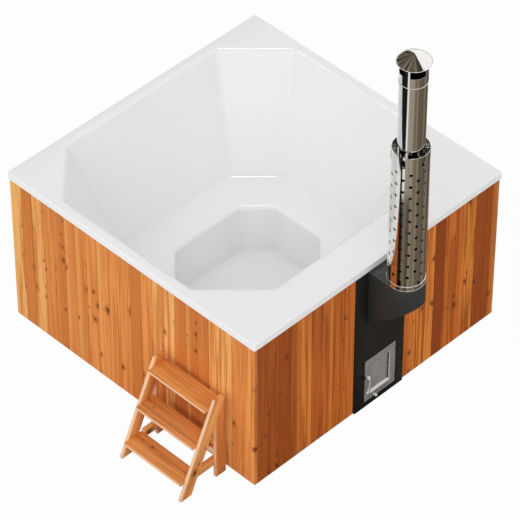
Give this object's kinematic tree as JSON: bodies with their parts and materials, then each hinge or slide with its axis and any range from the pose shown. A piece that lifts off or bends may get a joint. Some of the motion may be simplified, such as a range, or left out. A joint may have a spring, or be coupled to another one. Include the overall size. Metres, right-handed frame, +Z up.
{
  "type": "wood-fired hot tub",
  "caption": "Square wood-fired hot tub: white moulded liner with bench and foot well, board casing, built-in stove with outside flue and heat guard, and loose wooden steps.",
  "frame": {"origin": "on the ground at the middle of the square tub, on the underside of the middle bearer", "axes": "+Z up, -Y towards the stove, -X towards the steps"},
  "size_m": [2.4805, 2.294, 2.704],
  "materials": {
    "liner_white": "white moulded gloss",
    "casing_wood": "oiled upright boards",
    "frame_timber": "planed softwood",
    "step_wood": "oiled boards",
    "black_steel": "black heatproof satin",
    "stove_steel": "brushed stainless",
    "bright_steel": "polished stainless",
    "pipe_steel": "plain stainless pipe",
    "stove_glass": "heatproof glass",
    "rope_seal": "woven heatproof rope",
    "grate_iron": "raw cast iron",
    "drain_plastic": "grey plastic pipe",
    "valve_brass": "plain brass",
    "tap_red": "red coated lever"
  },
  "bodies": {
    "tub": {"base_bearers": "frame_timber", "bottom_rail_back": "frame_timber", "bottom_rail_front": "frame_timber", "bottom_rail_left": "frame_timber", "bottom_rail_right": "frame_timber", "cap_sleeve": "bright_steel", "cladding_back": "casing_wood", "cladding_front_left": "casing_wood", "cladding_front_right": "casing_wood", "cladding_left": "casing_wood", "cladding_right": "casing_wood", "corner_posts": "frame_timber", "drain_fitting": "bright_steel", "drain_pipe": "drain_plastic", "drain_valve": "valve_brass", "firebox": "stove_steel", "flue_box": "black_steel", "flue_collar": "bright_steel", "flue_pipe": "bright_steel", "front_panel": "black_steel", "grate": "grate_iron", "heat_guard": "bright_steel", "hinge_pins": "black_steel", "hinge_sockets": "black_steel", "latch_keeper": "black_steel", "liner": "liner_white", "rain_cap": "bright_steel", "smoke_riser": "stove_steel", "stove_feet": "stove_steel", "stove_stud_left": "frame_timber", "stove_stud_right": "frame_timber", "top_rail_back": "frame_timber", "top_rail_front": "frame_timber", "top_rail_left": "frame_timber", "top_rail_right": "frame_timber", "water_jacket": "stove_steel", "water_pipe_lower": "pipe_steel", "water_pipe_upper": "pipe_steel", "water_ports": "bright_steel"},
    "stove_door": {"door_plate": "stove_steel", "door_glass": "stove_glass", "glass_clips": "stove_steel", "door_seal": "rope_seal", "hinge_knuckles": "black_steel"},
    "door_lever": {"lever_spindle": "bright_steel", "lever_grip": "bright_steel", "latch_tongue": "bright_steel"},
    "air_control": {"air_slide": "stove_steel", "air_knob": "bright_steel"},
    "drain_tap": {"drain_lever": "tap_red"},
    "steps": {"step_stringer_left": "step_wood", "step_stringer_right": "step_wood", "step_leg_left": "step_wood", "step_leg_right": "step_wood", "step_tread_bottom": "step_wood", "step_tread_middle": "step_wood", "step_tread_top": "step_wood", "step_rail_left": "step_wood", "step_rail_right": "step_wood", "step_cross_rail": "step_wood"}
  },
  "joints": [
    {"name": "door_hinge", "type": "hinge", "parent": "tub", "child": "stove_door", "pos_m": [0.1385, -1.0123, 0.219], "axis": [0, 0, 1], "range_deg": [0, 110]},
    {"name": "lever_turn", "type": "hinge", "parent": "stove_door", "child": "door_lever", "pos_m": [-0.11, -1.011, 0.265], "axis": [0, -1, 0], "range_deg": [0, 90]},
    {"name": "air_slide_move", "type": "slide", "parent": "stove_door", "child": "air_control", "axis": [1, 0, 0], "range_m": [0, 0.012]},
    {"name": "drain_tap_turn", "type": "hinge", "parent": "tub", "child": "drain_tap", "pos_m": [1.025, -0.1, 0.08], "axis": [0, 0, -1], "range_deg": [0, 90]},
    {"name": "steps_carry", "type": "slide", "parent": "tub", "child": "steps", "axis": [-1, 0, 0], "range_m": [0, 0.4]}
  ]
}
